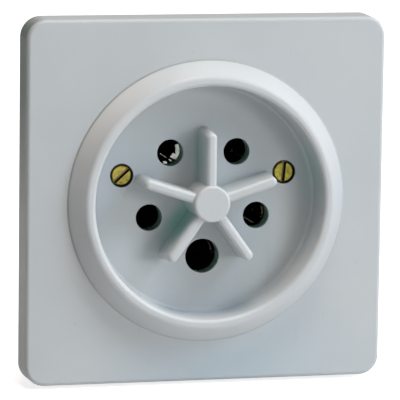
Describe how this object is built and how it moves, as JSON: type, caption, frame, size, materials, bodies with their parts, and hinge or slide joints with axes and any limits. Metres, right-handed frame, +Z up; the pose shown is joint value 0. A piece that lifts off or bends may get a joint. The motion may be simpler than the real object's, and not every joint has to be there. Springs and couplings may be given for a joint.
{
  "type": "industrial socket",
  "caption": "Flush wall socket for round pins: square grey cover plate, raised round collar, sunk floor with a star of ribs between the pin holes, brass contacts behind.",
  "frame": {"origin": "centre of the four fixing slots, on the wall plane behind the mounting plate", "axes": "+Z up the wall, +X to the right seen from the front, +Y into the wall, so the socket's face looks along -Y"},
  "size_m": [0.095, 0.0496, 0.095],
  "materials": {
    "plate_moulding": "satin light grey",
    "insert_moulding": "satin light grey",
    "carrier_moulding": "dark thermoset",
    "zinc_steel": "zinc plated",
    "contact_brass": "turned",
    "screw_brass": "turned, a little dull",
    "screw_steel": "zinc plated",
    "spring_steel": "hardened"
  },
  "bodies": {
    "root": {"cover_plate": "plate_moulding", "socket_insert": "insert_moulding", "mounting_plate": "zinc_steel", "contact_carrier": "carrier_moulding", "earth_tag": "contact_brass", "cover_screw_left": "screw_brass", "cover_screw_right": "screw_brass", "screw_bush_left": "contact_brass", "screw_bush_right": "contact_brass", "carrier_rivets": "screw_steel", "phase_sleeve_1": "contact_brass", "phase_spring_1": "spring_steel", "phase_terminal_1": "contact_brass", "phase_clamp_screw_1": "screw_steel", "phase_sleeve_2": "contact_brass", "phase_spring_2": "spring_steel", "phase_terminal_2": "contact_brass", "phase_clamp_screw_2": "screw_steel", "phase_sleeve_3": "contact_brass", "phase_spring_3": "spring_steel", "phase_terminal_3": "contact_brass", "phase_clamp_screw_3": "screw_steel", "neutral_sleeve": "contact_brass", "neutral_spring": "spring_steel", "neutral_terminal": "contact_brass", "neutral_clamp_screw": "screw_steel", "earth_sleeve": "contact_brass", "earth_spring": "spring_steel", "earth_terminal": "contact_brass", "earth_clamp_screw": "screw_steel"}
  },
  "joints": []
}
